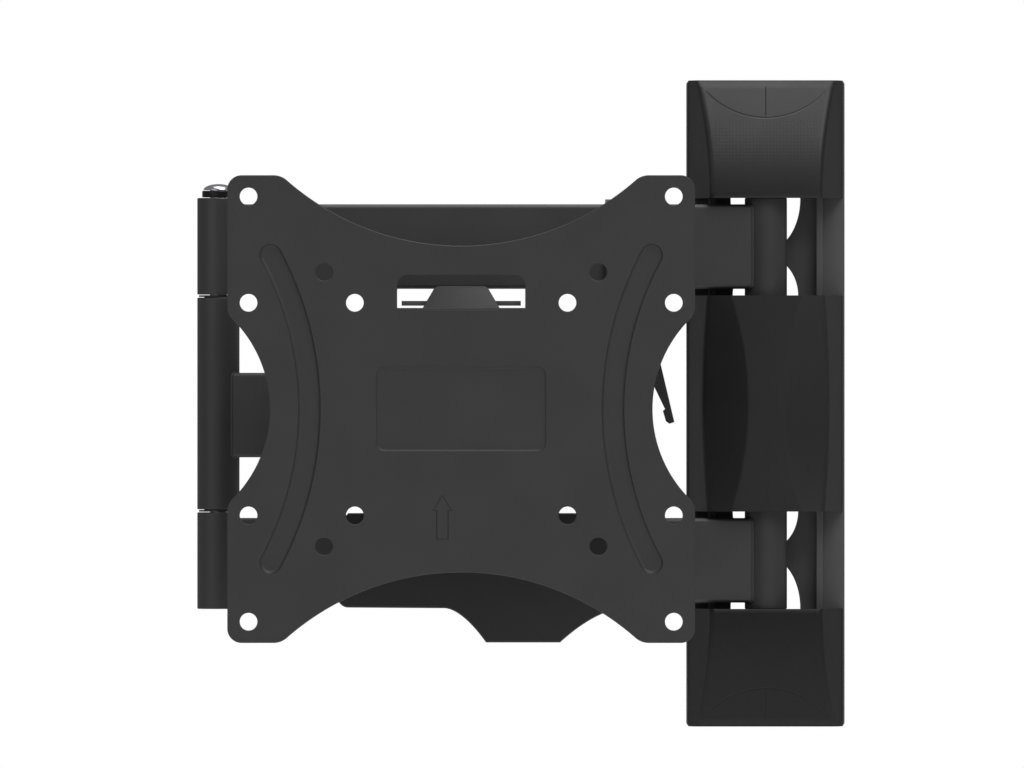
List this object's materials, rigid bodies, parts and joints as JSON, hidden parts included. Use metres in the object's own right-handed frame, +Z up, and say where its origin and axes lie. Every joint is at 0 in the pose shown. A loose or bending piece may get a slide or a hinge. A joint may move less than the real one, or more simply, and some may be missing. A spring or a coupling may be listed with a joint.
{
  "type": "full motion tv wall mount",
  "caption": "Articulated screen wall mount with a covered wall plate, double swing arm, elbow, and a swivelling and tilting square screen plate.",
  "frame": {"origin": "middle of the wall plate's back face", "axes": "+X to the viewer's right, +Y into the wall, +Z up; the screen faces -Y"},
  "size_m": [0.3065, 0.0949, 0.306],
  "materials": {
    "black_steel": "fine powder coat",
    "arm_steel": "fine powder coat",
    "barrel_steel": "fine powder coat",
    "cover_plastic": "moulded satin",
    "clip_plastic": "moulded satin",
    "zinc": "bright zinc plate",
    "dark_fastener": "black oxide",
    "nylon": "black nylon"
  },
  "bodies": {
    "wall": {"wall_plate": "black_steel", "hinge_channel": "black_steel", "hinge_bracket_top": "black_steel", "hinge_bracket_bottom": "black_steel", "wall_pivot_bolt": "zinc", "wall_pivot_nut": "zinc", "wall_pivot_washer_top": "zinc", "wall_pivot_washer_bottom": "zinc", "cover_top": "cover_plastic", "cover_middle": "cover_plastic", "cover_bottom": "cover_plastic"},
    "long_arm": {"wall_pivot_tube": "barrel_steel", "wall_pivot_bush_top": "nylon", "wall_pivot_bush_bottom": "nylon", "long_arm_tube_upper": "arm_steel", "long_arm_tube_lower": "arm_steel", "elbow_barrel_top": "barrel_steel", "elbow_barrel_bottom": "barrel_steel", "elbow_collar": "dark_fastener", "elbow_bolt": "zinc", "elbow_nut": "zinc", "cable_cover": "clip_plastic", "cable_clip": "clip_plastic"},
    "short_arm": {"elbow_barrel_middle": "barrel_steel", "elbow_bush_top": "nylon", "elbow_bush_bottom": "nylon", "short_arm_tube": "arm_steel", "head_barrel": "barrel_steel", "head_bush_top": "nylon", "head_bush_bottom": "nylon"},
    "head": {"swivel_yoke": "black_steel", "swivel_bolt": "zinc", "swivel_nut": "zinc", "swivel_washer_top": "zinc", "swivel_washer_bottom": "zinc", "tilt_axle": "zinc", "tilt_nut": "zinc", "tilt_washer_right": "zinc", "tilt_washer_left": "zinc", "tilt_friction_washer_right": "nylon", "tilt_friction_washer_left": "nylon"},
    "screen": {"screen_plate": "black_steel", "tilt_bracket": "black_steel"}
  },
  "joints": [
    {"name": "wall_swivel", "type": "hinge", "parent": "wall", "child": "long_arm", "pos_m": [0, -0.022, 0], "axis": [0, 0, 1], "range_deg": [0, 120]},
    {"name": "elbow_swivel", "type": "hinge", "parent": "long_arm", "child": "short_arm", "pos_m": [-0.259, -0.022, 0], "axis": [0, 0, 1], "range_deg": [-170, 0]},
    {"name": "head_swivel", "type": "hinge", "parent": "short_arm", "child": "head", "pos_m": [-0.144, -0.022, -0.0055], "axis": [0, 0, 1], "range_deg": [-15, 15]},
    {"name": "tilt", "type": "hinge", "parent": "head", "child": "screen", "pos_m": [-0.144, -0.053, -0.0055], "axis": [1, 0, 0], "range_deg": [-5, 12]}
  ]
}
